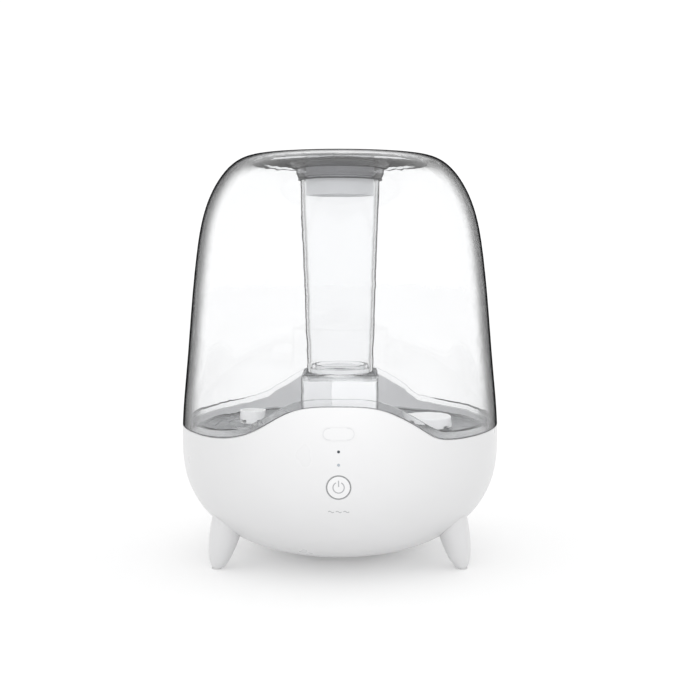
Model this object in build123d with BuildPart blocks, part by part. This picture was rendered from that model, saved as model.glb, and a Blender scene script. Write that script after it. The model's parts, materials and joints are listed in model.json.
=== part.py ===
from build123d import *
import os

# Cool mist humidifier: a white three-legged bowl with the electrics, a clear domed
# tank that lifts off it, and a smoky lid that lifts off the tank for filling.
# Millimetres. +Z is up, -Y is the front with the power button, and the origin is on
# the floor under the middle of the bowl.

os.makedirs("parts", exist_ok=True)

# ---------------------------------------------------------------- driving dimensions
WIDTH = 250.0  # widest diameter of the bowl
HEIGHT = 315.0  # floor to the top of the lid
R = WIDTH / 2

BOWL_BOTTOM_Z = 9.2
BOWL_FLAT_R = 54.0  # flat underside of the bowl
WIDEST_Z = 92.0
SHELL_WALL = 2.6
TANK_WALL = 2.6
GAP = 0.4  # between the bowl's rim and the tank's edge

SEAM_Z = 105.7  # the rim between bowl and tank, at the two sides
SEAM_RISE = 28.2  # how far the rim climbs at the front and the back
SEAM_HALF = 102.0  # where the climb starts, either side of the middle

LID_R = 64.6
LID_Z = 311.6  # underside of the lid plate
LEDGE_R = 60.5  # fill opening of the tank
COLLAR_R = 34.0
COLLAR_BOTTOM_Z = 297.0

CHIMNEY_BOTTOM_Z = 145.0
CHIMNEY_TOP_Z = 299.0
CHIMNEY_BOTTOM_R = 26.0
CHIMNEY_TOP_R = 31.0
CHIMNEY_WALL = 2.0

FLOOR_Z = 98.8  # underside of the tank's floor
FLOOR_TOP_Z = 101.3
SKIRT_R = 119.2  # the tank's skirt, which nests in the bowl
SOCKET_X = 60.0
SOCKET_Y = 55.0

DECK_Z = 96.0  # underside of the deck
DECK_TOP_Z = 98.5
DECK_R = 121.8
TROUGH_Z = 75.5  # underside of the water trough
TROUGH_TOP_Z = 78.0

VALVE_X = -70.0
FLOAT_X = 70.0

BUTTON_Z = 78.0
BUTTON_R = 7.9
LED_UPPER_Z = 103.2
LED_LOWER_Z = 94.0
PLATE_Z = 115.5  # blank badge on the front

LEG_TIP_R = 108.3
LEG_TOP_R = 98.0
LEG_TOP_Z = 38.0
LEG_ANGLES = {"leg_front_left": 210, "leg_front_right": 330, "leg_rear": 90}

FAN_X, FAN_Y = 18.0, -18.0
FAN_Z = 20.0
FAN_SIZE = 60.0
FAN_DEPTH = 15.0

TRANSDUCER = (-9.0, 6.0)
INLET_Z = 66.0
POWER_BOARD_Z = 32.0
OSC_Z = 62.0  # oscillator board
PANEL_Y = 110.4  # distance of the control board from the axis
SWITCH_Y = 116.2  # distance of the switch's plunger from the axis
LAMP_R = 1.0
LAMP_BACK_Y = 120.6  # distance of the upper lamp's back end from the axis
INLET_R = 5.5
INLET_BACK_Y = 98.0  # distance of the inlet's terminals from the axis
BOARD = 1.6  # thickness of every circuit board
SWITCH_BODY = 3.4
COVER = 2.4  # thickness of the bottom cover
SCREW_HOLE_R = 1.6  # clearance hole of the cover's and the fan's screws
PILOT_R = 1.4  # hole that a screw bites into

CHAMBER_X = 54.4
CHAMBER_Y = 46.4
CHAMBER_TOP_Z = 140.0
SOCKET_ROOF_Z = 142.4
DUCT_X = 33.6  # air duct, which fills the chamber's front right corner
DUCT_Y = 10.0
DUCT_CENTRE = (CHAMBER_X / 2 - DUCT_X / 2, DUCT_Y / 2 - CHAMBER_Y / 2)
DUCT_BOTTOM_Z = 70.0
AIR_WINDOW_Z = 126.0
AIR_WINDOW_X = 24.0
AIR_WINDOW_HEIGHT = 14.0

VALVE_SEAT_Z = 104.0
STEM_R = 1.8
HEAD_Z = 107.0
FOOT_TOP_Z = 89.0
CUP_R = 10.2
CUP_TOP_Z = 113.8
CAGE_R = 19.5
CAGE_HEIGHT = 8.2

SLEEVE_BOTTOM_Z = 284.2
SLEEVE_FLANGE_Z = 307.9
NOZZLE_R = 13.0
FAR = 400.0  # longer than the whole object


# ------------------------------------------------------------------ shared geometry
# Radius and height down the skin of the whole body, from under the bowl to the lid.
SKIN = (
    (BOWL_FLAT_R, BOWL_BOTTOM_Z),
    (R - 44.5, 17.8),
    (R - 19.6, 36.0),
    (R - 3.1, 65.0),
    (R, WIDEST_Z),
    (R - 4.0, 150.0),
    (R - 12.9, 240.0),
    (R - 18.8, 270.0),
    (R - 30.0, 295.0),
    (R - 42.7, 309.0),
    (LID_R, HEIGHT),
)


def body_half(inset):
    """Half section of the whole body from the bowl to the lid, moved in by inset."""
    with BuildLine(mode=Mode.PRIVATE):
        skin = Spline(*SKIN)
    moved = []
    for point in SKIN:
        along = skin % skin.param_at_point(Vector(*point))
        moved.append((point[0] - inset * along.Y, point[1] + inset * along.X))
    with BuildSketch(Plane.XZ, mode=Mode.PRIVATE) as half:
        with BuildLine():
            side = Spline(*moved)
            Polyline(side @ 1, (0, (side @ 1).Y), (0, (side @ 0).Y), side @ 0)
        make_face()
    return half.sketch


def body_solid(inset):
    """The whole body as one solid of revolution, its skin moved in by inset."""
    with BuildPart(mode=Mode.PRIVATE) as solid:
        revolve(body_half(inset), axis=Axis.Z)
    return solid.part


def above_seam(lift):
    """Everything above the bell-shaped rim, which is the same all along Y."""
    bell = [(-1.0, 0.0), (-0.60, 0.29), (-0.31, 0.875), (0.0, 1.0)]
    bell += [(-x, rise) for x, rise in reversed(bell[:-1])]
    with BuildPart(mode=Mode.PRIVATE) as upper:
        with BuildSketch(Plane.XZ):
            with BuildLine():
                rim = Spline(
                    *[(x * SEAM_HALF, SEAM_Z + rise * SEAM_RISE + lift) for x, rise in bell],
                    tangents=((1, 0), (1, 0)),
                )
                Polyline(rim @ 1, (FAR, SEAM_Z + lift), (FAR, FAR), (-FAR, FAR))
                Polyline((-FAR, FAR), (-FAR, SEAM_Z + lift), rim @ 0)
            make_face()
        extrude(amount=FAR, both=True)
    return upper.part


def front_plane(z):
    """A plane through the axis that faces the front, with its origin at height z."""
    return Plane(origin=(0, 0, z), x_dir=(1, 0, 0), z_dir=(0, -1, 0))


def ring(inner, outer, z, height, centre=(0, 0)):
    """A flat ring, added to the part being built."""
    with BuildSketch(Plane.XY.offset(z)) as band:
        with Locations(centre):
            Circle(outer)
            Circle(inner, mode=Mode.SUBTRACT)
    extrude(band.sketch, amount=height)


def disc(radius, z, height, centre=(0, 0), mode=Mode.ADD):
    """A round plug, added to or taken from the part being built."""
    with BuildSketch(Plane.XY.offset(z)) as plug:
        with Locations(centre):
            Circle(radius)
    extrude(plug.sketch, amount=height, mode=mode)


def block(size_x, size_y, z, height, centre=(0, 0), corner=0.0, mode=Mode.ADD):
    """A block with round upright corners, added to or taken from the part."""
    with BuildSketch(Plane.XY.offset(z)) as slab:
        with Locations(centre):
            if corner:
                RectangleRounded(size_x, size_y, corner)
            else:
                Rectangle(size_x, size_y)
    extrude(slab.sketch, amount=height, mode=mode)


def screws(points, head_z, head_r, shank_r, length, head_height=1.4):
    """Pan-head screws at the points, heads on top at head_z, shanks going down."""
    with BuildPart(mode=Mode.PRIVATE) as group:
        with BuildSketch(Plane.XY.offset(head_z)):
            with Locations(*points):
                Circle(head_r)
        extrude(amount=head_height)
        with BuildSketch(Plane.XY.offset(head_z - length)):
            with Locations(*points):
                Circle(shank_r)
        extrude(amount=length)
        with BuildSketch(Plane.XY.offset(head_z + head_height)):
            with Locations(*points):
                Rectangle(head_r * 1.3, 0.6)
                Rectangle(0.6, head_r * 1.3)
        extrude(amount=-0.6, mode=Mode.SUBTRACT)
    return group.part


def save(part, name):
    """Label one finished sub-part and write its STEP file."""
    part.label = name
    export_step(part, f"parts/{name}.step")


OUTER = body_solid(0)
SHELL_INNER = body_solid(SHELL_WALL)
TANK_INNER = body_solid(TANK_WALL)
OVER_BOWL = above_seam(-GAP / 2)
OVER_TANK_EDGE = above_seam(GAP / 2)

COVER_R = 56.0
COVER_SCREWS = [(46 * x, 24 * y) for x in (-1, 1) for y in (-1, 1)]
BOARD_CENTRE = (-60.5, -10.0)
POST_CORNERS = ((-1, -1), (-1, 1), (1, -1))  # the fourth corner is free for the leads
BOARD_POSTS = [(BOARD_CENTRE[0] + 23 * x, BOARD_CENTRE[1] + 21 * y) for x, y in POST_CORNERS]
DECK_SCREW_R = 119.4
DECK_SCREWS = [(DECK_SCREW_R * x / 2**0.5, DECK_SCREW_R * y / 2**0.5) for x in (-1, 1) for y in (-1, 1)]

# --------------------------------------------------------------------------- legs
PAD_R = 3.6
PAD_HEIGHT = 1.2
LEG_LENGTH = 52.0
LEG_TIP = Vector(LEG_TIP_R, 0, 0)
LEG_UP = Vector(LEG_TOP_R - LEG_TIP_R, 0, LEG_TOP_Z).normalized()
LEG_ACROSS = Plane(origin=LEG_TIP, x_dir=(0, 1, 0), z_dir=LEG_UP)
LEG_SECTION = Plane(origin=LEG_TIP, x_dir=(0, 1, 0), z_dir=Vector(0, 1, 0).cross(LEG_UP))
BOSS_START = 27.0  # along the leg, just outside the bowl's skin
BOSS_END = 38.0  # the screw head's seat, inside the bowl
LEG_SCREW_END = 15.0

# One leg stands along +X: a bullet with a round tip, cut to the bowl it meets.
with BuildPart() as leg:
    with BuildSketch(LEG_SECTION):
        with BuildLine():
            Line((0, 0), (3.0, 0))
            side = Spline((3.0, 0), (6.6, 5.0), (9.3, 13.0), (11.3, 24.0), (13.2, LEG_LENGTH))
            Polyline(side @ 1, (0, LEG_LENGTH), (0, 0))
        make_face()
    revolve(axis=Axis(LEG_TIP, LEG_UP))
    disc(PAD_R * 6, -5, PAD_HEIGHT + 5, centre=(LEG_TIP_R, 0), mode=Mode.SUBTRACT)
    add(OUTER, mode=Mode.SUBTRACT)
    with BuildSketch(LEG_ACROSS.offset(LEG_SCREW_END - 1)):
        Circle(2.1)
    extrude(amount=LEG_LENGTH, mode=Mode.SUBTRACT)

with BuildPart() as leg_boss:
    with BuildSketch(LEG_ACROSS.offset(BOSS_START)):
        Circle(7.0)
    extrude(amount=BOSS_END - BOSS_START)
    add(body_solid(0.4), mode=Mode.INTERSECT)

with BuildPart() as leg_screw_hole:
    with BuildSketch(LEG_ACROSS.offset(BOSS_START - 5)):
        Circle(2.3)
    extrude(amount=BOSS_END - BOSS_START + 8)

with BuildPart() as leg_screw:
    with BuildSketch(LEG_ACROSS.offset(LEG_SCREW_END)):
        Circle(2.0)
    extrude(amount=BOSS_END - LEG_SCREW_END)
    with BuildSketch(LEG_ACROSS.offset(BOSS_END)):
        Circle(4.0)
    extrude(amount=2.4)
    with BuildSketch(LEG_ACROSS.offset(BOSS_END + 2.4)):
        Rectangle(5.4, 1.0)
        Rectangle(1.0, 5.4)
    extrude(amount=-1.2, mode=Mode.SUBTRACT)

for name, angle in LEG_ANGLES.items():
    save(leg.part.rotate(Axis.Z, angle), name)

with BuildPart() as foot_pads:
    for angle in LEG_ANGLES.values():
        with BuildSketch(Plane.XY):
            with PolarLocations(LEG_TIP_R, 1, start_angle=angle):
                Circle(PAD_R)
        extrude(amount=PAD_HEIGHT)
save(foot_pads.part, "foot_pads")

with BuildPart() as leg_screws:
    for angle in LEG_ANGLES.values():
        add(leg_screw.part.rotate(Axis.Z, angle))
save(leg_screws.part, "leg_screws")

# --------------------------------------------------------------------------- bowl
DECK_LEDGE_Z = 95.0
COVER_LEDGE_Z = BOWL_BOTTOM_Z + COVER + 0.2

with BuildPart() as board_posts:
    with BuildSketch(Plane.XY.offset(COVER_LEDGE_Z)):
        with Locations(*BOARD_POSTS):
            Circle(3.0)
    extrude(amount=POWER_BOARD_Z - COVER_LEDGE_Z)
    add(body_solid(0.4), mode=Mode.INTERSECT)

with BuildPart() as base_shell:
    add(OUTER)
    add(SHELL_INNER, mode=Mode.SUBTRACT)
    add(OVER_BOWL, mode=Mode.SUBTRACT)
    # Ledge round the open bottom, which takes the bottom cover's screws.
    ring(50.0, 62.0, COVER_LEDGE_Z - 0.2, 2.6)
    disc(COVER_R, 0, COVER_LEDGE_Z, mode=Mode.SUBTRACT)
    with BuildSketch(Plane.XY):
        with Locations(*COVER_SCREWS):
            Circle(PILOT_R)
    extrude(amount=20, mode=Mode.SUBTRACT)
    # Ledge under the deck.
    with BuildSketch(Plane.XZ):
        Polygon((117.0, DECK_LEDGE_Z), (123.0, DECK_LEDGE_Z), (123.0, 86.0), (121.5, 86.0), align=None)
    revolve(axis=Axis.Z)
    with BuildSketch(Plane.XY.offset(80)):
        with Locations(*DECK_SCREWS):
            Circle(PILOT_R)
    extrude(amount=20, mode=Mode.SUBTRACT)
    add(board_posts.part)
    for angle in LEG_ANGLES.values():
        add(leg_boss.part.rotate(Axis.Z, angle))
    for angle in LEG_ANGLES.values():
        add(leg_screw_hole.part.rotate(Axis.Z, angle), mode=Mode.SUBTRACT)
    # Front: button, two lamps. Back: power inlet.
    with BuildSketch(front_plane(BUTTON_Z)):
        Circle(BUTTON_R + 1.0)
    extrude(amount=FAR, mode=Mode.SUBTRACT)
    for lamp_z in (LED_UPPER_Z, LED_LOWER_Z):
        with BuildSketch(front_plane(lamp_z)):
            Circle(LAMP_R + 0.05)
        extrude(amount=FAR, mode=Mode.SUBTRACT)
    with BuildSketch(front_plane(INLET_Z)):
        Circle(INLET_R + 0.2)
    extrude(amount=-FAR, mode=Mode.SUBTRACT)
save(base_shell.part, "base_shell")

with BuildPart() as bottom_cover:
    disc(COVER_R - 0.3, BOWL_BOTTOM_Z, COVER)
    # Intake slots either side of a middle rib.
    with BuildSketch(Plane.XY.offset(BOWL_BOTTOM_Z)):
        with GridLocations(0, 7.6, 1, 10):
            Rectangle(90.0, 4.4)
        Rectangle(4.0, 90.0, mode=Mode.SUBTRACT)
        Circle(40.0, mode=Mode.INTERSECT)
    extrude(amount=COVER, mode=Mode.SUBTRACT)
    with BuildSketch(Plane.XY.offset(BOWL_BOTTOM_Z)):
        with Locations(*COVER_SCREWS):
            Circle(SCREW_HOLE_R)
    extrude(amount=COVER, mode=Mode.SUBTRACT)
    with BuildSketch(Plane.XY.offset(BOWL_BOTTOM_Z)):
        with Locations(*COVER_SCREWS):
            Circle(3.0)
    extrude(amount=1.2, mode=Mode.SUBTRACT)
save(bottom_cover.part, "bottom_cover")

cover_screws = screws(COVER_SCREWS, -(BOWL_BOTTOM_Z + 1.2), 2.7, 1.3, 4.0, head_height=1.1)
save(cover_screws.mirror(Plane.XY), "cover_screws")

with BuildPart() as intake_filter:
    block(62, 62, COVER_LEDGE_Z, 3.0, corner=4)
save(intake_filter.part, "intake_filter")

# --------------------------------------------------------------------- front panel
with BuildPart() as button_bezel:
    with BuildSketch(front_plane(BUTTON_Z)):
        Circle(BUTTON_R + 0.95)
        Circle(BUTTON_R + 0.25, mode=Mode.SUBTRACT)
    extrude(amount=FAR)
    add(OUTER, mode=Mode.INTERSECT)
    add(SHELL_INNER, mode=Mode.SUBTRACT)
save(button_bezel.part, "button_bezel")

with BuildPart() as power_button:
    with BuildSketch(front_plane(BUTTON_Z)):
        Circle(BUTTON_R)
    extrude(amount=FAR)
    add(OUTER, mode=Mode.INTERSECT)
    add(body_solid(3.0), mode=Mode.SUBTRACT)
    with BuildSketch(front_plane(BUTTON_Z).offset(SWITCH_Y + 1.0)):
        Circle(2.2)
    extrude(amount=5.5)
save(power_button.part, "power_button")

with BuildPart() as control_board:
    with BuildSketch(front_plane(76.8).offset(PANEL_Y)):
        Rectangle(44, 37)
    extrude(amount=BOARD)
    with BuildSketch(front_plane(66).offset(PANEL_Y + BOARD)):
        with Locations((-12, 0), (12, 0)):
            Rectangle(9, 7)
    extrude(amount=1.4)
save(control_board.part, "control_board")

with BuildPart() as tact_switch:
    with BuildSketch(front_plane(BUTTON_Z).offset(PANEL_Y + BOARD)):
        Rectangle(6, 6)
    extrude(amount=SWITCH_BODY)
    with BuildSketch(front_plane(BUTTON_Z).offset(PANEL_Y + BOARD + SWITCH_BODY)):
        Circle(1.7)
    extrude(amount=SWITCH_Y - PANEL_Y - BOARD - SWITCH_BODY)
save(tact_switch.part, "tact_switch")

with BuildPart() as lamp_lens_upper:
    with BuildSketch(front_plane(LED_UPPER_Z).offset(LAMP_BACK_Y)):
        Circle(LAMP_R)
    extrude(amount=R - 0.3 - LAMP_BACK_Y)
    with BuildSketch(Plane.XY.offset(DECK_TOP_Z + 0.3)):
        with Locations((0, -LAMP_BACK_Y - 0.6)):
            Rectangle(1.5 * LAMP_R, 1.2)
    extrude(amount=LED_UPPER_Z - DECK_TOP_Z)
save(lamp_lens_upper.part, "lamp_lens_upper")

with BuildPart() as lamp_lens_lower:
    with BuildSketch(front_plane(LED_LOWER_Z).offset(PANEL_Y + 2.2)):
        Circle(LAMP_R)
    extrude(amount=R - 0.1 - PANEL_Y - 2.2)
save(lamp_lens_lower.part, "lamp_lens_lower")

with BuildPart() as front_plate:
    with BuildSketch(front_plane(PLATE_Z)):
        SlotOverall(22.4, 8.8)
    extrude(amount=FAR)
    add(OUTER.moved(Location((0, -0.4, 0))), mode=Mode.INTERSECT)
    add(OUTER, mode=Mode.SUBTRACT)
save(front_plate.part, "front_plate")

# --------------------------------------------------------------------- power inlet
with BuildPart() as power_inlet:
    with BuildSketch(front_plane(INLET_Z).offset(-INLET_BACK_Y)):
        Rectangle(11, 14)
    extrude(amount=-8.0)
    with BuildSketch(front_plane(INLET_Z).offset(-INLET_BACK_Y - 8.0)):
        Circle(INLET_R)
    extrude(amount=-15.5)
    # Bore for the plug, round its centre pin.
    with BuildSketch(front_plane(INLET_Z).offset(-INLET_BACK_Y - 13.5)):
        Circle(3.0)
        Circle(1.05, mode=Mode.SUBTRACT)
    extrude(amount=-10.0, mode=Mode.SUBTRACT)
save(power_inlet.part, "power_inlet")

with BuildPart() as inlet_nut:
    with BuildSketch(front_plane(INLET_Z).offset(-INLET_BACK_Y - 14.6)):
        RegularPolygon(8.6, 6)
        Circle(INLET_R + 0.1, mode=Mode.SUBTRACT)
    extrude(amount=-3.0)
save(inlet_nut.part, "inlet_nut")

# ---------------------------------------------------------------------- water deck
TROUGH_CENTRE = (-27.0, 0.0)
OSC_CENTRE = (-48.0, 8.0)
OSC_POSTS = [(OSC_CENTRE[0] + 19 * x, OSC_CENTRE[1] + 16 * y) for x in (-1, 1) for y in (-1, 1)]
with PolarLocations(13.5, 3, start_angle=90) as clamp_spots:
    CLAMP_SCREWS = [(TRANSDUCER[0] + s.position.X, TRANSDUCER[1] + s.position.Y) for s in clamp_spots]

with BuildPart() as water_deck:
    disc(DECK_R, DECK_Z, DECK_TOP_Z - DECK_Z)
    with BuildSketch(Plane.XY.offset(TROUGH_Z)):
        with Locations(TROUGH_CENTRE):
            SlotOverall(152, 60)
    extrude(amount=DECK_TOP_Z - TROUGH_Z)
    with BuildSketch(Plane.XY.offset(TROUGH_TOP_Z)):
        with Locations(TROUGH_CENTRE):
            SlotOverall(147, 55)
    extrude(amount=DECK_TOP_Z, mode=Mode.SUBTRACT)
    # Posts for the oscillator board and for the transducer's clamp ring.
    with BuildSketch(Plane.XY.offset(OSC_Z + BOARD)):
        with Locations(*OSC_POSTS):
            Circle(2.4)
    extrude(amount=TROUGH_Z - OSC_Z - BOARD)
    with BuildSketch(Plane.XY.offset(TROUGH_Z - 3.0)):
        with Locations(*CLAMP_SCREWS):
            Circle(2.5)
    extrude(amount=3.0)
    with BuildSketch(Plane.XY.offset(TROUGH_Z - 3.0)):
        with Locations(*CLAMP_SCREWS):
            Circle(0.9)
    extrude(amount=4.5, mode=Mode.SUBTRACT)
    disc(9.4, TROUGH_Z - 1, 6, centre=TRANSDUCER, mode=Mode.SUBTRACT)
    block(DUCT_X + 0.4, DUCT_Y + 0.4, TROUGH_Z - 1, 6, centre=DUCT_CENTRE, mode=Mode.SUBTRACT)
    with BuildSketch(Plane.XY.offset(DECK_Z - 1)):
        with Locations(*DECK_SCREWS):
            Circle(1.5)
    extrude(amount=6, mode=Mode.SUBTRACT)
    with BuildSketch(Plane.XY.offset(DECK_TOP_Z - 1.4)):
        with Locations(*DECK_SCREWS):
            Circle(2.3)
    extrude(amount=3, mode=Mode.SUBTRACT)
save(water_deck.part, "water_deck")

with BuildPart() as deck_gasket:
    ring(117.2, 121.6, DECK_LEDGE_Z, DECK_Z - DECK_LEDGE_Z)
    with BuildSketch(Plane.XY.offset(DECK_LEDGE_Z)):
        with Locations(*DECK_SCREWS):
            Circle(1.5)
    extrude(amount=2, mode=Mode.SUBTRACT)
save(deck_gasket.part, "deck_gasket")

save(screws(DECK_SCREWS, DECK_TOP_Z - 1.4, 2.2, 1.3, 9.0, head_height=1.3), "deck_screws")

with BuildPart() as mist_chamber:
    with BuildSketch(Plane.XY.offset(TROUGH_TOP_Z)) as outline:
        Rectangle(CHAMBER_X, CHAMBER_Y)
        with Locations((DUCT_CENTRE[0] + 5, DUCT_CENTRE[1] - 5)):
            Rectangle(DUCT_X + 10.2, DUCT_Y + 10.2, mode=Mode.SUBTRACT)
    extrude(amount=CHAMBER_TOP_Z - TROUGH_TOP_Z)
    with BuildSketch(Plane.XY.offset(TROUGH_TOP_Z)):
        add(outline.sketch)
        offset(amount=-2.2, mode=Mode.REPLACE)
    extrude(amount=CHAMBER_TOP_Z, mode=Mode.SUBTRACT)
    with BuildSketch(Plane.YZ):
        with Locations((4, TROUGH_TOP_Z + 3)):
            Rectangle(22, 6.2)
    extrude(amount=FAR, both=True, mode=Mode.SUBTRACT)
    with BuildSketch(Plane.XZ):
        with Locations((DUCT_CENTRE[0], AIR_WINDOW_Z)):
            Rectangle(AIR_WINDOW_X, AIR_WINDOW_HEIGHT)
    extrude(amount=16, mode=Mode.SUBTRACT)
save(mist_chamber.part, "mist_chamber")

with BuildPart() as air_duct:
    block(DUCT_X, DUCT_Y, DUCT_BOTTOM_Z, CHAMBER_TOP_Z - DUCT_BOTTOM_Z, centre=DUCT_CENTRE)
    block(
        DUCT_X - 3.6, DUCT_Y - 3.6, DUCT_BOTTOM_Z, CHAMBER_TOP_Z - DUCT_BOTTOM_Z - 1.8,
        centre=DUCT_CENTRE, mode=Mode.SUBTRACT,
    )
    with BuildSketch(Plane.XZ):
        with Locations((DUCT_CENTRE[0], AIR_WINDOW_Z)):
            Rectangle(AIR_WINDOW_X, AIR_WINDOW_HEIGHT)
    extrude(amount=-DUCT_CENTRE[1], mode=Mode.SUBTRACT)
save(air_duct.part, "air_duct")

with BuildPart() as valve_post:
    disc(5.2, TROUGH_TOP_Z, 8.9, centre=(VALVE_X, 0))
    chamfer(valve_post.edges().group_by(Axis.Z)[-1], 1.0)
save(valve_post.part, "valve_post")

with BuildPart() as level_float:
    ring(5.5, 14.0, TROUGH_TOP_Z + 0.4, 10.0, centre=(VALVE_X, 0))
    fillet(level_float.edges().group_by(Axis.Z)[-1], 1.5)
save(level_float.part, "level_float")

with BuildPart() as reed_sensor:
    block(16, 8, DECK_Z - 4.0, 4.0, centre=(FLOAT_X, 0), corner=1)
save(reed_sensor.part, "reed_sensor")

# ---------------------------------------------------------------------- transducer
with BuildPart() as transducer_disc:
    disc(10.0, TROUGH_Z - 1.9, 1.0, centre=TRANSDUCER)
save(transducer_disc.part, "transducer_disc")

with BuildPart() as transducer_seal:
    ring(8.2, 10.8, TROUGH_Z - 3.0, 3.0, centre=TRANSDUCER)
    disc(10.0, TROUGH_Z - 1.9, 1.0, centre=TRANSDUCER, mode=Mode.SUBTRACT)
save(transducer_seal.part, "transducer_seal")

with BuildPart() as clamp_ring:
    ring(7.5, 16.5, TROUGH_Z - 4.2, 1.2, centre=TRANSDUCER)
    with BuildSketch(Plane.XY.offset(TROUGH_Z - 5)):
        with Locations(*CLAMP_SCREWS):
            Circle(1.1)
    extrude(amount=3, mode=Mode.SUBTRACT)
save(clamp_ring.part, "clamp_ring")

clamp_screws = screws(CLAMP_SCREWS, -(TROUGH_Z - 4.2), 2.0, 0.85, 4.4, head_height=1.2)
save(clamp_screws.mirror(Plane.XY), "clamp_screws")

with BuildPart() as oscillator_board:
    block(46, 40, OSC_Z, BOARD, centre=OSC_CENTRE, corner=1.5)
    block(12, 9, OSC_Z + BOARD, 5.0, centre=(OSC_CENTRE[0] - 6, OSC_CENTRE[1]))
    disc(4.5, OSC_Z + BOARD, 7.0, centre=(OSC_CENTRE[0] + 8, OSC_CENTRE[1] - 4))
save(oscillator_board.part, "oscillator_board")

with BuildPart() as heat_sink:
    block(32, 24, OSC_Z - 3.0, 3.0, centre=OSC_CENTRE)
    with BuildSketch(Plane.XY.offset(OSC_Z - 14.0)):
        with Locations(OSC_CENTRE):
            with GridLocations(4.4, 0, 8, 1):
                Rectangle(1.2, 24)
    extrude(amount=11.0)
save(heat_sink.part, "heat_sink")

# ----------------------------------------------------------------------------- fan
FAN_SCREWS = [(FAN_X + 25 * x, FAN_Y + 25 * y) for x in (-1, 1) for y in (-1, 1)]
FAN_TOP_Z = FAN_Z + FAN_DEPTH
FUNNEL_TOP_Z = 68.0

with BuildPart() as fan_frame:
    block(FAN_SIZE, FAN_SIZE, FAN_Z, FAN_DEPTH, centre=(FAN_X, FAN_Y), corner=4)
    disc(28.5, FAN_Z, FAN_DEPTH, centre=(FAN_X, FAN_Y), mode=Mode.SUBTRACT)
    with BuildSketch(Plane.XY.offset(FAN_Z)):
        with Locations((FAN_X, FAN_Y)):
            Circle(12.0)
            Rectangle(58.0, 3.0)
            Rectangle(3.0, 58.0)
    extrude(amount=2.0)
    disc(5.0, FAN_Z + 2.0, 9.6, centre=(FAN_X, FAN_Y))
    disc(1.56, FAN_Z + 1.0, 20.0, centre=(FAN_X, FAN_Y), mode=Mode.SUBTRACT)
    with BuildSketch(Plane.XY.offset(FAN_Z)):
        with Locations(*FAN_SCREWS):
            Circle(SCREW_HOLE_R)
    extrude(amount=FAN_DEPTH, mode=Mode.SUBTRACT)
save(fan_frame.part, "fan_frame")

with BuildPart() as fan_rotor:
    disc(12.5, FAN_Z + 3.0, 10.5, centre=(FAN_X, FAN_Y))
    disc(10.8, FAN_Z + 3.0, 9.0, centre=(FAN_X, FAN_Y), mode=Mode.SUBTRACT)
    disc(1.5, FAN_Z + 1.6, 11.0, centre=(FAN_X, FAN_Y))
    with Locations((FAN_X, FAN_Y, FAN_Z + 8.0)):
        with PolarLocations(19.6, 7):
            Box(15.6, 1.2, 11.0, rotation=(40, 0, 0))
save(fan_rotor.part, "fan_rotor")

with BuildPart() as fan_duct:
    block(FAN_SIZE, FAN_SIZE, FAN_TOP_Z, 2.0, centre=(FAN_X, FAN_Y), corner=4)
    with BuildSketch(Plane.XY.offset(FAN_TOP_Z + 2.0)):
        with Locations((FAN_X, FAN_Y)):
            RectangleRounded(59.0, 59.0, 28.0)
    with BuildSketch(Plane.XY.offset(FUNNEL_TOP_Z)):
        with Locations(DUCT_CENTRE):
            RectangleRounded(DUCT_X + 4.0, DUCT_Y + 4.0, 2.2)
    loft()
    block(DUCT_X + 4.0, DUCT_Y + 4.0, FUNNEL_TOP_Z, TROUGH_Z - FUNNEL_TOP_Z, centre=DUCT_CENTRE, corner=2.2)
    with BuildPart(mode=Mode.PRIVATE) as funnel_bore:
        with BuildSketch(Plane.XY.offset(FAN_TOP_Z + 2.0)):
            with Locations((FAN_X, FAN_Y)):
                RectangleRounded(55.4, 55.4, 26.2)
        with BuildSketch(Plane.XY.offset(FUNNEL_TOP_Z)):
            with Locations(DUCT_CENTRE):
                RectangleRounded(DUCT_X + 0.2, DUCT_Y + 0.2, 0.4)
        loft()
    add(funnel_bore.part, mode=Mode.SUBTRACT)
    disc(27.5, FAN_TOP_Z, 2.0, centre=(FAN_X, FAN_Y), mode=Mode.SUBTRACT)
    block(DUCT_X + 0.2, DUCT_Y + 0.2, FUNNEL_TOP_Z, 20, centre=DUCT_CENTRE, mode=Mode.SUBTRACT)
    with BuildSketch(Plane.XY.offset(FAN_TOP_Z)):
        with Locations(*FAN_SCREWS):
            Circle(SCREW_HOLE_R)
    extrude(amount=2.0, mode=Mode.SUBTRACT)
save(fan_duct.part, "fan_duct")

save(screws(FAN_SCREWS, FAN_TOP_Z + 2.0, 2.8, 1.4, 14.0), "fan_screws")

# --------------------------------------------------------------------- power board
with BuildPart() as power_board:
    block(55, 50, POWER_BOARD_Z, BOARD, centre=BOARD_CENTRE, corner=2)
    # A transformer, two capacitors and the inlet's connector.
    block(16, 13, POWER_BOARD_Z + BOARD, 10.0, centre=(BOARD_CENTRE[0] - 14, BOARD_CENTRE[1] - 12))
    disc(5.0, POWER_BOARD_Z + BOARD, 10.0, centre=(BOARD_CENTRE[0] + 6, BOARD_CENTRE[1] - 14))
    disc(4.0, POWER_BOARD_Z + BOARD, 6.5, centre=(BOARD_CENTRE[0] + 18, BOARD_CENTRE[1] - 10))
    block(10, 6, POWER_BOARD_Z + BOARD, 6.0, centre=(BOARD_CENTRE[0] - 6, BOARD_CENTRE[1] + 18))
save(power_board.part, "power_board")


def lead(points, radius=1.4, bends=6.0):
    """An insulated wire along straight runs joined by arcs."""
    with BuildPart() as wire:
        with BuildLine() as route:
            FilletPolyline(*points, radius=bends)
        with BuildSketch(Plane(origin=route.line @ 0, z_dir=route.line % 0)):
            Circle(radius)
        sweep()
    return wire.part


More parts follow.
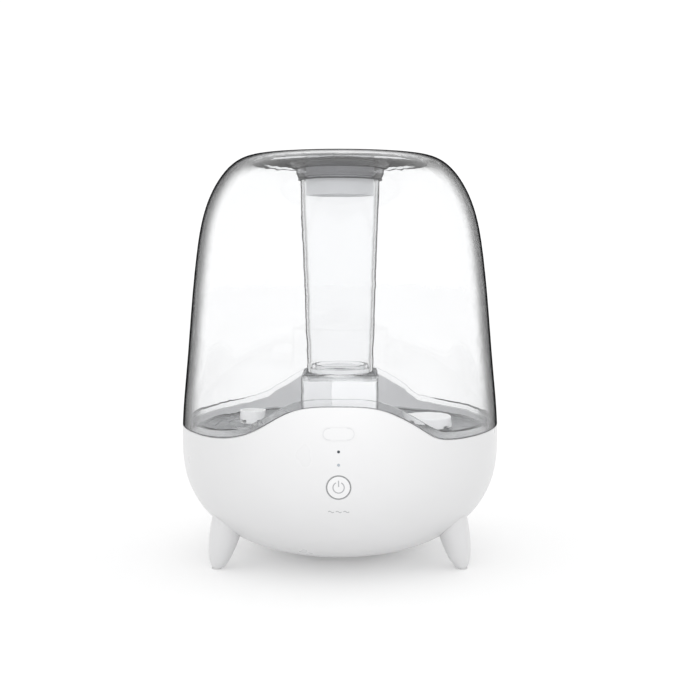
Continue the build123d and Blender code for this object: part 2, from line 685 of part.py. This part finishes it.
BOARD_TOP_Z = POWER_BOARD_Z + BOARD
INLET_LEAD = [
    (0, 98, 62), (0, 80, 62), (-24, 56, 48), (-50, 40, 38), (-66, 26, 36.6), (-66, 11, 36.6),
]
FAN_LEAD = [
    (-12, -30, 27), (-20, -30, 27), (-30, -28, 40), (-44, -22, 44), (-48, -14, 44), (-48, -14, BOARD_TOP_Z),
]
PANEL_LEAD = [
    (-12, -PANEL_Y, 62), (-12, -96, 62), (-30, -70, 54), (-42, -46, 48),
    (-42, -31, 46), (-42, -31, BOARD_TOP_Z),
]
save(lead(INLET_LEAD), "inlet_lead")
save(lead(FAN_LEAD, bends=3.0), "fan_lead")
save(lead(PANEL_LEAD, bends=5.0), "panel_lead")

# ---------------------------------------------------------------------------- tank
LEDGE_Z = 311.2  # top of the ledge that carries the lid
FLANGE_RISE = 5.0  # height of the band that is bonded inside the tank's edge

with BuildPart() as tank_shell:
    add(OUTER)
    add(TANK_INNER, mode=Mode.SUBTRACT)
    add(OVER_TANK_EDGE, mode=Mode.INTERSECT)
    with BuildSketch(Plane.XZ):
        Polygon(
            (LEDGE_R, LEDGE_Z - 2.6), (68.0, LEDGE_Z - 2.6), (71.0, 313.0), (64.9, 313.0),
            (64.9, LEDGE_Z), (LEDGE_R, LEDGE_Z), align=None,
        )
    revolve(axis=Axis.Z)
    disc(64.9, LEDGE_Z, 10, mode=Mode.SUBTRACT)
    disc(LEDGE_R, LEDGE_Z - 10, 20, mode=Mode.SUBTRACT)
save(tank_shell.part, "tank_shell")

with BuildPart() as flange:
    add(body_solid(TANK_WALL + 0.05))
    add(OVER_TANK_EDGE, mode=Mode.INTERSECT)

with BuildPart() as tank_floor:
    disc(SKIRT_R, FLOOR_Z, 60)
    fillet(tank_floor.edges().group_by(Axis.Z)[0], 3.0)
    add(flange.part)
    add(above_seam(FLANGE_RISE), mode=Mode.SUBTRACT)
    disc(SKIRT_R - 2.5, FLOOR_TOP_Z, 200, mode=Mode.SUBTRACT)
    # Two low oval steps round the valve.
    for size_x, size_y, top in ((60, 84, 102.7), (38, 54, VALVE_SEAT_Z)):
        with BuildSketch(Plane.XY.offset(FLOOR_TOP_Z)):
            with Locations((VALVE_X, 0)):
                Ellipse(size_x / 2, size_y / 2)
        extrude(amount=top - FLOOR_TOP_Z)
    # Socket that drops over the mist chamber and carries the chimney.
    block(SOCKET_X, SOCKET_Y, FLOOR_Z, CHIMNEY_BOTTOM_Z - FLOOR_Z, corner=4)
    fillet(tank_floor.edges().group_by(Axis.Z)[-1], 1.6)
    block(CHAMBER_X + 0.8, CHAMBER_Y + 0.8, FLOOR_Z, SOCKET_ROOF_Z - FLOOR_Z, mode=Mode.SUBTRACT)
    ring(20.0, 22.5, CHIMNEY_BOTTOM_Z - 0.5, 6.5)
    disc(20.0, SOCKET_ROOF_Z - 1, 20, mode=Mode.SUBTRACT)
    # Valve throat: a guide hole for the stem inside six ports.
    disc(STEM_R + 0.06, FLOOR_Z, 10, centre=(VALVE_X, 0), mode=Mode.SUBTRACT)
    with BuildSketch(Plane.XY.offset(FLOOR_Z)):
        with Locations((VALVE_X, 0)):
            with PolarLocations(4.6, 6):
                Circle(1.5)
    extrude(amount=10, mode=Mode.SUBTRACT)
save(tank_floor.part, "tank_floor")


def chimney_radius(z):
    """Outside radius of the tapered chimney at height z."""
    share = (z - CHIMNEY_BOTTOM_Z) / (CHIMNEY_TOP_Z - CHIMNEY_BOTTOM_Z)
    return CHIMNEY_BOTTOM_R + share * (CHIMNEY_TOP_R - CHIMNEY_BOTTOM_R)


with BuildPart() as mist_chimney:
    with BuildSketch(Plane.XZ):
        Polygon(
            (chimney_radius(CHIMNEY_BOTTOM_Z) - CHIMNEY_WALL, CHIMNEY_BOTTOM_Z),
            (chimney_radius(CHIMNEY_BOTTOM_Z), CHIMNEY_BOTTOM_Z),
            (chimney_radius(CHIMNEY_TOP_Z), CHIMNEY_TOP_Z),
            (chimney_radius(CHIMNEY_TOP_Z) - CHIMNEY_WALL, CHIMNEY_TOP_Z),
            align=None,
        )
    revolve(axis=Axis.Z)
save(mist_chimney.part, "mist_chimney")

with BuildPart() as chimney_seal:
    ring(22.5, 23.95, CHIMNEY_BOTTOM_Z + 0.3, 3.0)
save(chimney_seal.part, "chimney_seal")

# ----------------------------------------------------------------------- tank valve
with BuildPart() as valve_cup:
    disc(CUP_R, VALVE_SEAT_Z, CUP_TOP_Z - VALVE_SEAT_Z, centre=(VALVE_X, 0))
    fillet(valve_cup.edges().group_by(Axis.Z)[0], 0.8)
    disc(CUP_R - 1.6, VALVE_SEAT_Z - 1, 20, centre=(VALVE_X, 0), mode=Mode.SUBTRACT)
    with Locations((VALVE_X, 0, VALVE_SEAT_Z + 2.0)):
        with PolarLocations(CUP_R, 4, start_angle=45):
            Box(6, 7.0, 2.4, mode=Mode.SUBTRACT)
save(valve_cup.part, "valve_cup")

with BuildPart() as valve_stem:
    disc(STEM_R, FOOT_TOP_Z, HEAD_Z - FOOT_TOP_Z, centre=(VALVE_X, 0))
    disc(7.5, HEAD_Z, 1.6, centre=(VALVE_X, 0))
    fillet(valve_stem.edges().group_by(Axis.Z)[-1], 0.6)
save(valve_stem.part, "valve_stem")

with BuildPart() as valve_washer:
    ring(STEM_R + 0.05, 7.2, HEAD_Z - 1.4, 1.4, centre=(VALVE_X, 0))
save(valve_washer.part, "valve_washer")

with BuildPart() as valve_foot:
    disc(4.5, FOOT_TOP_Z - 2.0, 2.0, centre=(VALVE_X, 0))
    chamfer(valve_foot.edges().group_by(Axis.Z)[0], 0.5)
save(valve_foot.part, "valve_foot")

with BuildPart() as valve_spring:
    with BuildLine() as coil:
        Helix(
            pitch=1.8, height=FLOOR_Z - FOOT_TOP_Z - 1.0, radius=3.3,
            center=(VALVE_X, 0, FOOT_TOP_Z + 0.5),
        )
    with BuildSketch(Plane(origin=coil.line @ 0, z_dir=coil.line % 0)):
        Circle(0.4)
    sweep()
save(valve_spring.part, "valve_spring")

# ------------------------------------------------------------------- low water float
with BuildPart() as float_cage:
    disc(CAGE_R, FLOOR_TOP_Z, CAGE_HEIGHT, centre=(FLOAT_X, 0))
    fillet(float_cage.edges().group_by(Axis.Z)[-1], 1.2)
    disc(CAGE_R - 1.8, FLOOR_TOP_Z, CAGE_HEIGHT - 1.8, centre=(FLOAT_X, 0), mode=Mode.SUBTRACT)
    with Locations((FLOAT_X, 0, FLOOR_TOP_Z)):
        with PolarLocations(CAGE_R, 8):
            Box(8, 6, 3.6, mode=Mode.SUBTRACT)
save(float_cage.part, "float_cage")

with BuildPart() as low_water_float:
    ring(5.2, 15.0, FLOOR_TOP_Z + 0.3, 3.6, centre=(FLOAT_X, 0))
    disc(15.0, FLOOR_TOP_Z + 3.4, 0.5, centre=(FLOAT_X, 0))
save(low_water_float.part, "low_water_float")

with BuildPart() as float_magnet:
    disc(5.1, FLOOR_TOP_Z + 0.5, 2.8, centre=(FLOAT_X, 0))
save(float_magnet.part, "float_magnet")

# ----------------------------------------------------------------------------- lid
GRIP_X = 48.8
OUTLET_R = 24.9

with BuildPart() as lid_plate:
    disc(LID_R, LID_Z, HEIGHT - LID_Z)
    fillet(lid_plate.edges().group_by(Axis.Z)[-1], 0.8)
    disc(OUTLET_R, LID_Z, 10, mode=Mode.SUBTRACT)
    fillet(lid_plate.edges().filter_by(GeomType.CIRCLE).group_by(Axis.Z)[-1].sort_by(SortBy.RADIUS)[0], 0.8)
    block(15.3, 10.3, LID_Z, 10, centre=(GRIP_X, 0), corner=3.1, mode=Mode.SUBTRACT)
save(lid_plate.part, "lid_plate")

with BuildPart() as lid_grip:
    block(15.0, 10.0, LID_Z - 3.2, 6.0, centre=(GRIP_X, 0), corner=3)
    block(12.6, 7.6, LID_Z - 2.0, 10, centre=(GRIP_X, 0), corner=2, mode=Mode.SUBTRACT)
save(lid_grip.part, "lid_grip")

with BuildPart() as lid_seal:
    ring(LEDGE_R + 0.4, 64.0, LEDGE_Z + 0.02, LID_Z - LEDGE_Z - 0.02)
save(lid_seal.part, "lid_seal")

with BuildPart() as lid_collar:
    with BuildSketch(Plane.XZ):
        with BuildLine():
            flare = RadiusArc((COLLAR_R + 6.5, LID_Z), (COLLAR_R, LID_Z - 6.5), 6.5)
            Polyline(
                flare @ 1, (COLLAR_R, 301.0), (COLLAR_R - 1.4, COLLAR_BOTTOM_Z),
                (COLLAR_R - 2.4, COLLAR_BOTTOM_Z), (COLLAR_R - 2.4, LID_Z), flare @ 0,
            )
        make_face()
    revolve(axis=Axis.Z)
save(lid_collar.part, "lid_collar")

with BuildPart() as collar_seal:
    ring(CHIMNEY_TOP_R + 0.3, COLLAR_R - 0.9, COLLAR_BOTTOM_Z - 1.1, 1.1)
save(collar_seal.part, "collar_seal")

with BuildPart() as nozzle_sleeve:
    ring(OUTLET_R, 26.7, SLEEVE_BOTTOM_Z, SLEEVE_FLANGE_Z - SLEEVE_BOTTOM_Z)
    ring(OUTLET_R, 31.4, SLEEVE_FLANGE_Z, LID_Z - SLEEVE_FLANGE_Z)
save(nozzle_sleeve.part, "nozzle_sleeve")

with BuildPart() as mist_nozzle:
    with BuildSketch(Plane.XZ):
        with BuildLine():
            Polyline((NOZZLE_R + 2.0, 305.0), (OUTLET_R - 0.2, 305.0), (OUTLET_R - 0.2, 314.6))
            throat = Line((OUTLET_R - 0.2, 314.6), (OUTLET_R - 3.0, 314.6))
            cone = TangentArc(throat @ 1, (NOZZLE_R, 309.0), tangent=(-1, -0.25))
            Line(cone @ 1, (NOZZLE_R, 305.0))
            Line((NOZZLE_R, 305.0), (NOZZLE_R + 2.0, 305.0))
        make_face()
    revolve(axis=Axis.Z)
save(mist_nozzle.part, "mist_nozzle")
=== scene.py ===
import json
import math

import bmesh
import bpy
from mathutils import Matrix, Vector
from mathutils.bvhtree import BVHTree


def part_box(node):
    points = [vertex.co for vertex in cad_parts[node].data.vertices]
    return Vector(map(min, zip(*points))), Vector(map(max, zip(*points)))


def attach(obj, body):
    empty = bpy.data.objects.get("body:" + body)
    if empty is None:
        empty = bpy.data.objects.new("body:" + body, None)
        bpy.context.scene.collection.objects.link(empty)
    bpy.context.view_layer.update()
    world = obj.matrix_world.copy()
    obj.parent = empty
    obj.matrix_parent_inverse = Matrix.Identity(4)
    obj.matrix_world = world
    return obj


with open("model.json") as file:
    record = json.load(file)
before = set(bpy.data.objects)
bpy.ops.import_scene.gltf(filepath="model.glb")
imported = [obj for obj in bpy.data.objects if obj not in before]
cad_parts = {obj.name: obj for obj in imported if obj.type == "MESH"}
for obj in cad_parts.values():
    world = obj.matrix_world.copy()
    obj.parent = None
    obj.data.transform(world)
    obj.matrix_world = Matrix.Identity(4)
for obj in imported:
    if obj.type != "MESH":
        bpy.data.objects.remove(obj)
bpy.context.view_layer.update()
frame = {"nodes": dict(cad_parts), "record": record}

MM = 0.001
nodes = frame["nodes"]
front_low, front_high = (Vector(corner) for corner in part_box("front_plate"))
button_low, button_high = (Vector(corner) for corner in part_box("power_button"))
shell_low, shell_high = (Vector(corner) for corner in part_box("base_shell"))


# ------------------------------------------------------------------------ materials
EDGE_SHADE_START = 0.58  # how far a clear surface turns away before its painted edge shade starts
EDGE_SHADE_END = 0.90


def shader_tree(name):
    """A new material with its Principled shader, its object coordinates and its node tree."""
    material = bpy.data.materials.new(name)
    material.use_nodes = True
    tree = material.node_tree
    shader = tree.nodes["Principled BSDF"]
    coordinates = tree.nodes.new("ShaderNodeTexCoord").outputs["Object"]
    return material, tree, shader, coordinates


def noise(tree, coordinates, scale, detail=2.0):
    """Noise between 0 and 1, with a given number of features to the metre."""
    node = tree.nodes.new("ShaderNodeTexNoise")
    node.inputs["Scale"].default_value = scale
    node.inputs["Detail"].default_value = detail
    tree.links.new(coordinates, node.inputs["Vector"])
    return node.outputs["Fac"]


def between(tree, factor, low, high):
    """A colour between low and high, picked by factor over its useful middle range."""
    ramp = tree.nodes.new("ShaderNodeValToRGB")
    ramp.color_ramp.elements[0].position = 0.3
    ramp.color_ramp.elements[1].position = 0.7
    ramp.color_ramp.elements[0].color = (*low, 1.0)
    ramp.color_ramp.elements[1].color = (*high, 1.0)
    tree.links.new(factor, ramp.inputs["Fac"])
    return ramp.outputs["Color"]


def spread(tree, factor, low, high):
    """A number between low and high, picked by factor."""
    node = tree.nodes.new("ShaderNodeMapRange")
    node.inputs["From Min"].default_value = 0.3
    node.inputs["From Max"].default_value = 0.7
    node.inputs["To Min"].default_value = low
    node.inputs["To Max"].default_value = high
    tree.links.new(factor, node.inputs["Value"])
    return node.outputs["Result"]


def bump(tree, shader, height, strength, distance):
    """Small relief on the surface, distance metres high at full strength."""
    node = tree.nodes.new("ShaderNodeBump")
    node.inputs["Strength"].default_value = strength
    node.inputs["Distance"].default_value = distance
    tree.links.new(height, node.inputs["Height"])
    tree.links.new(node.outputs["Normal"], shader.inputs["Normal"])


def moulded(name, colour, roughness, mottle=0.02, grain=1400.0, relief=0.03, coat=0.0):
    """Moulded plastic or rubber: faint mottling, uneven gloss and a fine grain."""
    material, tree, shader, coordinates = shader_tree(name)
    broad = noise(tree, coordinates, 22.0, 3.0)
    fine = noise(tree, coordinates, grain, 2.0)
    low = [channel * (1 - mottle) for channel in colour]
    high = [min(1.0, channel * (1 + mottle)) for channel in colour]
    tree.links.new(between(tree, broad, low, high), shader.inputs["Base Color"])
    tree.links.new(spread(tree, broad, roughness * 0.85, roughness * 1.15), shader.inputs["Roughness"])
    bump(tree, shader, fine, relief, 0.1 * MM)
    shader.inputs["Coat Weight"].default_value = coat
    shader.inputs["Coat Roughness"].default_value = 0.12
    return material


def clear(name, tint, edge, absorb, density, roughness=0.0, clearness=1.0, waviness=0.0):
    """Clear moulded plastic with painted shade where it is seen edge on, and darker where a ray goes far
    through it.

    Light on its way to the pieces inside goes straight through, as it does through a thin wall.
    """
    material, tree, shader, coordinates = shader_tree(name)
    broad = noise(tree, coordinates, 14.0, 2.0)
    low = [channel * 0.992 for channel in tint]
    # Painted shade: seen edge on, the surface turns into a see-through sheet of the dark edge colour.
    edge_shade_facing = tree.nodes.new("ShaderNodeLayerWeight")
    edge_shade_facing.inputs["Blend"].default_value = 0.5
    share = tree.nodes.new("ShaderNodeMapRange")
    share.interpolation_type = "SMOOTHSTEP"
    share.inputs["From Min"].default_value = EDGE_SHADE_START
    share.inputs["From Max"].default_value = EDGE_SHADE_END
    tree.links.new(edge_shade_facing.outputs["Facing"], share.inputs["Value"])
    painted_edge_shade = tree.nodes.new("ShaderNodeBsdfTransparent")
    painted_edge_shade.inputs["Color"].default_value = (*edge, 1.0)
    mix = tree.nodes.new("ShaderNodeMixShader")
    tree.links.new(share.outputs["Result"], mix.inputs["Fac"])
    tree.links.new(shader.outputs["BSDF"], mix.inputs[1])
    tree.links.new(painted_edge_shade.outputs["BSDF"], mix.inputs[2])
    path = tree.nodes.new("ShaderNodeLightPath")
    scattered = tree.nodes.new("ShaderNodeMath")
    scattered.operation = "MAXIMUM"
    tree.links.new(path.outputs["Is Shadow Ray"], scattered.inputs[0])
    tree.links.new(path.outputs["Is Diffuse Ray"], scattered.inputs[1])
    straight = tree.nodes.new("ShaderNodeBsdfTransparent")
    straight.inputs["Color"].default_value = (*tint, 1.0)
    lit = tree.nodes.new("ShaderNodeMixShader")
    tree.links.new(scattered.outputs["Value"], lit.inputs["Fac"])
    tree.links.new(mix.outputs["Shader"], lit.inputs[1])
    tree.links.new(straight.outputs["BSDF"], lit.inputs[2])
    tree.links.new(lit.outputs["Shader"], tree.nodes["Material Output"].inputs["Surface"])
    tree.links.new(between(tree, broad, low, tint), shader.inputs["Base Color"])
    tree.links.new(spread(tree, broad, roughness, roughness + 0.012), shader.inputs["Roughness"])
    shader.inputs["Transmission Weight"].default_value = clearness
    shader.inputs["IOR"].default_value = 1.49
    if waviness:
        bump(tree, shader, broad, waviness, 0.3 * MM)
    volume = tree.nodes.new("ShaderNodeVolumeAbsorption")
    volume.inputs["Color"].default_value = (*absorb, 1.0)
    volume.inputs["Density"].default_value = density
    tree.links.new(volume.outputs["Volume"], tree.nodes["Material Output"].inputs["Volume"])
    return material


def machined(name, colour, roughness, lines=2600.0):
    """Metal with fine turning lines."""
    material, tree, shader, coordinates = shader_tree(name)
    stretch = tree.nodes.new("ShaderNodeMapping")
    stretch.inputs["Scale"].default_value = (1.0, 1.0, 0.06)
    tree.links.new(coordinates, stretch.inputs["Vector"])
    grain = noise(tree, stretch.outputs["Vector"], lines, 3.0)
    low = [channel * 0.85 for channel in colour]
    tree.links.new(between(tree, grain, low, colour), shader.inputs["Base Color"])
    tree.links.new(spread(tree, grain, roughness * 0.7, roughness * 1.3), shader.inputs["Roughness"])
    bump(tree, shader, grain, 0.15, 0.05 * MM)
    shader.inputs["Metallic"].default_value = 1.0
    return material


def circuit(name):
    """Green board with paler tracks."""
    material, tree, shader, coordinates = shader_tree(name)
    cells = tree.nodes.new("ShaderNodeTexVoronoi")
    cells.feature = "DISTANCE_TO_EDGE"
    cells.inputs["Scale"].default_value = 260.0
    tree.links.new(coordinates, cells.inputs["Vector"])
    tracks = spread(tree, cells.outputs["Distance"], 1.0, 0.0)
    tree.links.new(between(tree, tracks, (0.02, 0.11, 0.05), (0.07, 0.27, 0.12)), shader.inputs["Base Color"])
    bump(tree, shader, tracks, 0.2, 0.05 * MM)
    shader.inputs["Roughness"].default_value = 0.35
    return material


def foam(name, colour):
    """Open-cell foam: dark pores between pale struts."""
    material, tree, shader, coordinates = shader_tree(name)
    cells = tree.nodes.new("ShaderNodeTexVoronoi")
    cells.inputs["Scale"].default_value = 900.0
    tree.links.new(coordinates, cells.inputs["Vector"])
    dark = [channel * 0.35 for channel in colour]
    tree.links.new(between(tree, cells.outputs["Distance"], dark, colour), shader.inputs["Base Color"])
    bump(tree, shader, cells.outputs["Distance"], 0.8, 0.5 * MM)
    shader.inputs["Roughness"].default_value = 0.9
    return material


looks = {
    "white_shell": moulded("white_shell", (0.66, 0.66, 0.665), 0.32, mottle=0.008, coat=0.12),
    "button_white": moulded("button_white", (0.70, 0.70, 0.705), 0.30, mottle=0.008, coat=0.15),
    "bezel_grey": moulded("bezel_grey", (0.30, 0.305, 0.31), 0.30, mottle=0.03),
    "lamp_lens": moulded("lamp_lens", (0.035, 0.045, 0.055), 0.15, mottle=0.1, coat=0.5),
    "inner_white": moulded("inner_white", (0.80, 0.802, 0.806), 0.28, mottle=0.015, coat=0.2),
    "duct_white": moulded("duct_white", (0.97, 0.97, 0.97), 0.25, mottle=0.01, coat=0.2),
    "duct_grey": moulded("duct_grey", (0.28, 0.285, 0.30), 0.45, mottle=0.03),
    "float_foam": moulded("float_foam", (0.84, 0.84, 0.83), 0.55, mottle=0.02, grain=900.0, relief=0.12),
    # The third colour of each clear look is the colour of its painted edge shade.
    "clear_tank": clear(
        "clear_tank", (0.995, 0.996, 0.998), (0.10, 0.10, 0.105), (0.70, 0.72, 0.74), 30.0, waviness=0.02
    ),
    "tank_floor_grey": clear(
        "tank_floor_grey", (0.98, 0.981, 0.983), (0.72, 0.725, 0.73), (0.85, 0.85, 0.86), 12.0,
        roughness=0.04,
    ),
    "smoky_lid": clear(
        "smoky_lid", (0.38, 0.38, 0.39), (0.06, 0.06, 0.063), (0.35, 0.35, 0.36), 800.0, roughness=0.03
    ),
    "milky_seal": clear(
        "milky_seal", (0.93, 0.93, 0.93), (0.75, 0.75, 0.75), (0.9, 0.9, 0.9), 60.0,
        roughness=0.3, clearness=0.5,
    ),
    "nozzle_grey": moulded("nozzle_grey", (0.64, 0.645, 0.655), 0.35, mottle=0.03, coat=0.1),
    "dark_seal": moulded("dark_seal", (0.045, 0.046, 0.05), 0.55, mottle=0.06),
    "rubber_foot": moulded("rubber_foot", (0.60, 0.60, 0.60), 0.65, mottle=0.03, grain=1000.0, relief=0.15),
    "steel": machined("steel", (0.58, 0.58, 0.60), 0.32),
    "acetal": moulded("acetal", (0.80, 0.80, 0.77), 0.35, mottle=0.02),
    "filter_foam": foam("filter_foam", (0.16, 0.165, 0.17)),
    "circuit_board": circuit("circuit_board"),
    "black_plastic": moulded("black_plastic", (0.018, 0.018, 0.02), 0.42, mottle=0.08),
    "aluminium": machined("aluminium", (0.80, 0.81, 0.82), 0.28, lines=1800.0),
    "piezo_ceramic": machined("piezo_ceramic", (0.74, 0.72, 0.66), 0.4, lines=1200.0),
    "magnet": moulded("magnet", (0.06, 0.06, 0.065), 0.5, mottle=0.08, grain=1100.0, relief=0.15),
    "wire_black": moulded("wire_black", (0.015, 0.015, 0.016), 0.45, mottle=0.08),
}
print_grey = moulded("print_grey", (0.36, 0.365, 0.375), 0.5, mottle=0.03)
print_pale = moulded("print_pale", (0.56, 0.565, 0.575), 0.45, mottle=0.03)

own_looks = {
    "lid_collar": clear(
        "smoky_collar", (0.85, 0.85, 0.86), (0.14, 0.14, 0.145), (0.60, 0.60, 0.61), 300.0, roughness=0.03
    ),
    "lamp_lens_lower": moulded("lamp_lens_pale", (0.36, 0.40, 0.44), 0.15, mottle=0.05, coat=0.5),
}

for row in frame["record"]["subparts"]:
    for slot in nodes[row["node"]].material_slots:
        slot.material = own_looks.get(row["node"], looks[row["material_slot"]])


# ------------------------------------------------------------------- printed marks
def surface_of(name):
    """A tree of a CAD node's faces, for finding points on its skin."""
    mesh = nodes[name].data
    points = [vertex.co.copy() for vertex in mesh.vertices]
    faces = [list(face.vertices) for face in mesh.polygons]
    return BVHTree.FromPolygons(points, faces)


def on_front(skin, x, z, lift):
    """The point of the front skin at x and z, moved out along its normal by lift."""
    start = Vector((x, shell_low.y - 10 * MM, z))
    hit, normal, _, _ = skin.ray_cast(start, Vector((0, 1, 0)))
    if normal.y > 0:
        normal = -normal
    return hit + normal * lift


INK = 0.06 * MM  # how far a printed line stands out of the skin, and reaches into it


def printed_line(name, skin, line, width, closed=False):
    """A thin raised line of ink that follows the skin through flat (x, z) points."""
    count = len(line)
    mesh = bmesh.new()
    rows = []
    for i, (x, z) in enumerate(line):
        if closed:
            before, after = line[i - 1], line[(i + 1) % count]
        else:
            before, after = line[max(i - 1, 0)], line[min(i + 1, count - 1)]
        along = Vector((after[0] - before[0], after[1] - before[1])).normalized()
        side = Vector((-along.y, along.x)) * width / 2
        one, two = (x + side.x, z + side.y), (x - side.x, z - side.y)
        corners = [(one, -INK), (one, INK), (two, INK), (two, -INK)]
        rows.append([mesh.verts.new(on_front(skin, *edge, lift)) for edge, lift in corners])
    following = rows[1:] + rows[:1] if closed else rows[1:]
    for one, two in zip(rows, following):
        for k in range(4):
            mesh.faces.new((one[k], two[k], two[(k + 1) % 4], one[(k + 1) % 4]))
    if not closed:
        mesh.faces.new(rows[0])
        mesh.faces.new(list(reversed(rows[-1])))
    return finished(name, mesh)


def finished(name, mesh):
    """An object in the scene from a bmesh, with its normals outward."""
    bmesh.ops.recalc_face_normals(mesh, faces=mesh.faces)
    data = bpy.data.meshes.new(name)
    mesh.to_mesh(data)
    mesh.free()
    piece = bpy.data.objects.new(name, data)
    bpy.context.collection.objects.link(piece)
    return piece


def joined(name, pieces):
    """One object made of several pieces, in the first one's place."""
    mesh = bmesh.new()
    for piece in pieces:
        mesh.from_mesh(piece.data)
        bpy.data.objects.remove(piece)
    return finished(name, mesh)


def arc(centre_z, radius, start, end, steps):
    """Flat points on an arc about the middle of the front, angles in degrees."""
    points = []
    for i in range(steps + 1):
        angle = math.radians(start + (end - start) * i / steps)
        points.append((radius * math.cos(angle), centre_z + radius * math.sin(angle)))
    return points


def mark(piece, material, body):
    """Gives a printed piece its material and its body."""
    piece.data.materials.append(material)
    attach(piece, body)


# The power icon: a ring that is open at the top, with an upright stem in the opening.
ICON_R = 3.9 * MM
ICON_LINE = 0.75 * MM
RING_START, RING_END = 118, 422  # degrees
STEM_START = 0.6 * MM
STEM_LENGTH = 4.4 * MM
button_z = (button_low.z + button_high.z) / 2
button_skin = surface_of("power_button")
icon_ring = printed_line("icon_ring", button_skin, arc(button_z, ICON_R, RING_START, RING_END, 48), ICON_LINE)
stem = [(0.0, button_z + STEM_START + STEM_LENGTH * i / 8) for i in range(9)]
icon_stem = printed_line("icon_stem", button_skin, stem, ICON_LINE)
mark(joined("power_icon", [icon_ring, icon_stem]), print_grey, "button")

# Three small waves in a row under the button.
WAVE_WIDTH = 4.0 * MM
WAVE_PITCH = 5.3 * MM
WAVE_HEIGHT = 0.55 * MM
WAVE_LINE = 0.55 * MM
WAVE_DROP = 10.2 * MM  # from the button's lower edge to the row
shell_skin = surface_of("base_shell")
wave_z = button_low.z - WAVE_DROP
waves = []
for column in (-1, 0, 1):
    wave = []
    for i in range(17):
        share = i / 16
        x = column * WAVE_PITCH + (share - 0.5) * WAVE_WIDTH
        wave.append((x, wave_z + WAVE_HEIGHT * math.sin(share * 2 * math.pi)))
    waves.append(printed_line(f"wave_{column + 1}", shell_skin, wave, WAVE_LINE))
mark(joined("mist_marks", waves), print_grey, "base")

# A thin outline just inside the edge of the blank badge.
BADGE_INSET = 0.45 * MM
BADGE_LINE = 0.4 * MM
plate_z = (front_low.z + front_high.z) / 2
half_length = (front_high.x - front_low.x) / 2 - BADGE_INSET
half_height = (front_high.z - front_low.z) / 2 - BADGE_INSET
outline = []
for side, start in ((1, -90), (-1, 90)):
    for i in range(17):
        angle = math.radians(start + 180 * i / 16)
        x = side * (half_length - half_height) + half_height * math.cos(angle)
        outline.append((x, plate_z + half_height * math.sin(angle)))
plate_skin = surface_of("front_plate")
mark(printed_line("badge_outline", plate_skin, outline, BADGE_LINE, closed=True), print_pale, "base")


# ------------------------------------------------------------------ stage and light
FLOOR_R = 6.0
FLOOR_GLOW = 0.22
WORLD_STRENGTH = 1.08
LIGHT_DISTANCE = 1.6
LIGHT_HEIGHT = 0.62


def stage_floor():
    """A wide round floor in plain white that glows a little, to soften the shadow on it."""
    mesh = bmesh.new()
    bmesh.ops.create_circle(mesh, cap_ends=True, segments=96, radius=FLOOR_R)
    floor = finished("floor", mesh)
    material, tree, shader, coordinates = shader_tree("floor_white")
    broad = noise(tree, coordinates, 3.0)
    tree.links.new(between(tree, broad, (0.76, 0.76, 0.76), (0.78, 0.78, 0.78)), shader.inputs["Base Color"])
    shader.inputs["Emission Color"].default_value = (1.0, 1.0, 1.0, 1.0)
    shader.inputs["Emission Strength"].default_value = FLOOR_GLOW
    shader.inputs["Roughness"].default_value = 0.9
    shader.inputs["Specular IOR Level"].default_value = 0.0
    floor.data.materials.append(material)


def hang(light, place, target):
    """Hangs a light at place, aimed at target, with no reflection of it in the plastic."""
    lamp = bpy.data.objects.new(light.name, light)
    lamp.location = place
    lamp.visible_glossy = False
    lamp.visible_transmission = False
    lamp.rotation_euler = (Vector(target) - Vector(place)).to_track_quat("-Z", "Y").to_euler()
    bpy.context.collection.objects.link(lamp)


def softbox(name, place, target, size, power):
    """A square area light."""
    light = bpy.data.lights.new(name, "AREA")
    light.size = size
    light.energy = power
    hang(light, place, target)


def spot(name, place, target, angle, power):
    """A soft round spot, brightest at target and fading out to angle degrees across."""
    light = bpy.data.lights.new(name, "SPOT")
    light.spot_size = math.radians(angle)
    light.spot_blend = 1.0
    light.shadow_soft_size = 0.1
    light.energy = power
    hang(light, place, target)


def white_world():
    """White all round."""
    world = bpy.data.worlds.new("studio")
    bpy.context.scene.world = world
    world.use_nodes = True
    background = world.node_tree.nodes["Background"]
    background.inputs["Color"].default_value = (1.0, 1.0, 1.0, 1.0)
    background.inputs["Strength"].default_value = WORLD_STRENGTH


stage_floor()
white_world()
softbox("softbox_front", (0.10, -LIGHT_DISTANCE, LIGHT_HEIGHT), (0.0, 0.0, 0.15), size=0.5, power=1.5)
rim_top = (0.0, 0.0, shell_high.z)
spot("spot_front", (0.0, -LIGHT_DISTANCE, LIGHT_HEIGHT), rim_top, angle=9.0, power=55.0)

# --------------------------------------------------------------------------- camera
CAMERA_DISTANCE = 0.880
CAMERA_HEIGHT = 0.2454
CAMERA_SIDE = 0.0079
CAMERA_DOWN = math.radians(5.41)
CAMERA_LENS = 57.03  # millimetres, on a sensor 36 mm wide
LIGHT_BOUNCES = 24  # enough to cross every clear wall

camera_data = bpy.data.cameras.new("camera")
camera_data.sensor_width = 36.0
camera_data.lens = CAMERA_LENS
camera = bpy.data.objects.new("camera", camera_data)
camera.location = (CAMERA_SIDE, -CAMERA_DISTANCE, CAMERA_HEIGHT)
camera.rotation_euler = (math.pi / 2 - CAMERA_DOWN, 0, 0)
bpy.context.collection.objects.link(camera)

scene = bpy.context.scene
scene.camera = camera
scene.view_settings.view_transform = "Standard"
scene.cycles.max_bounces = LIGHT_BOUNCES
scene.cycles.transmission_bounces = LIGHT_BOUNCES
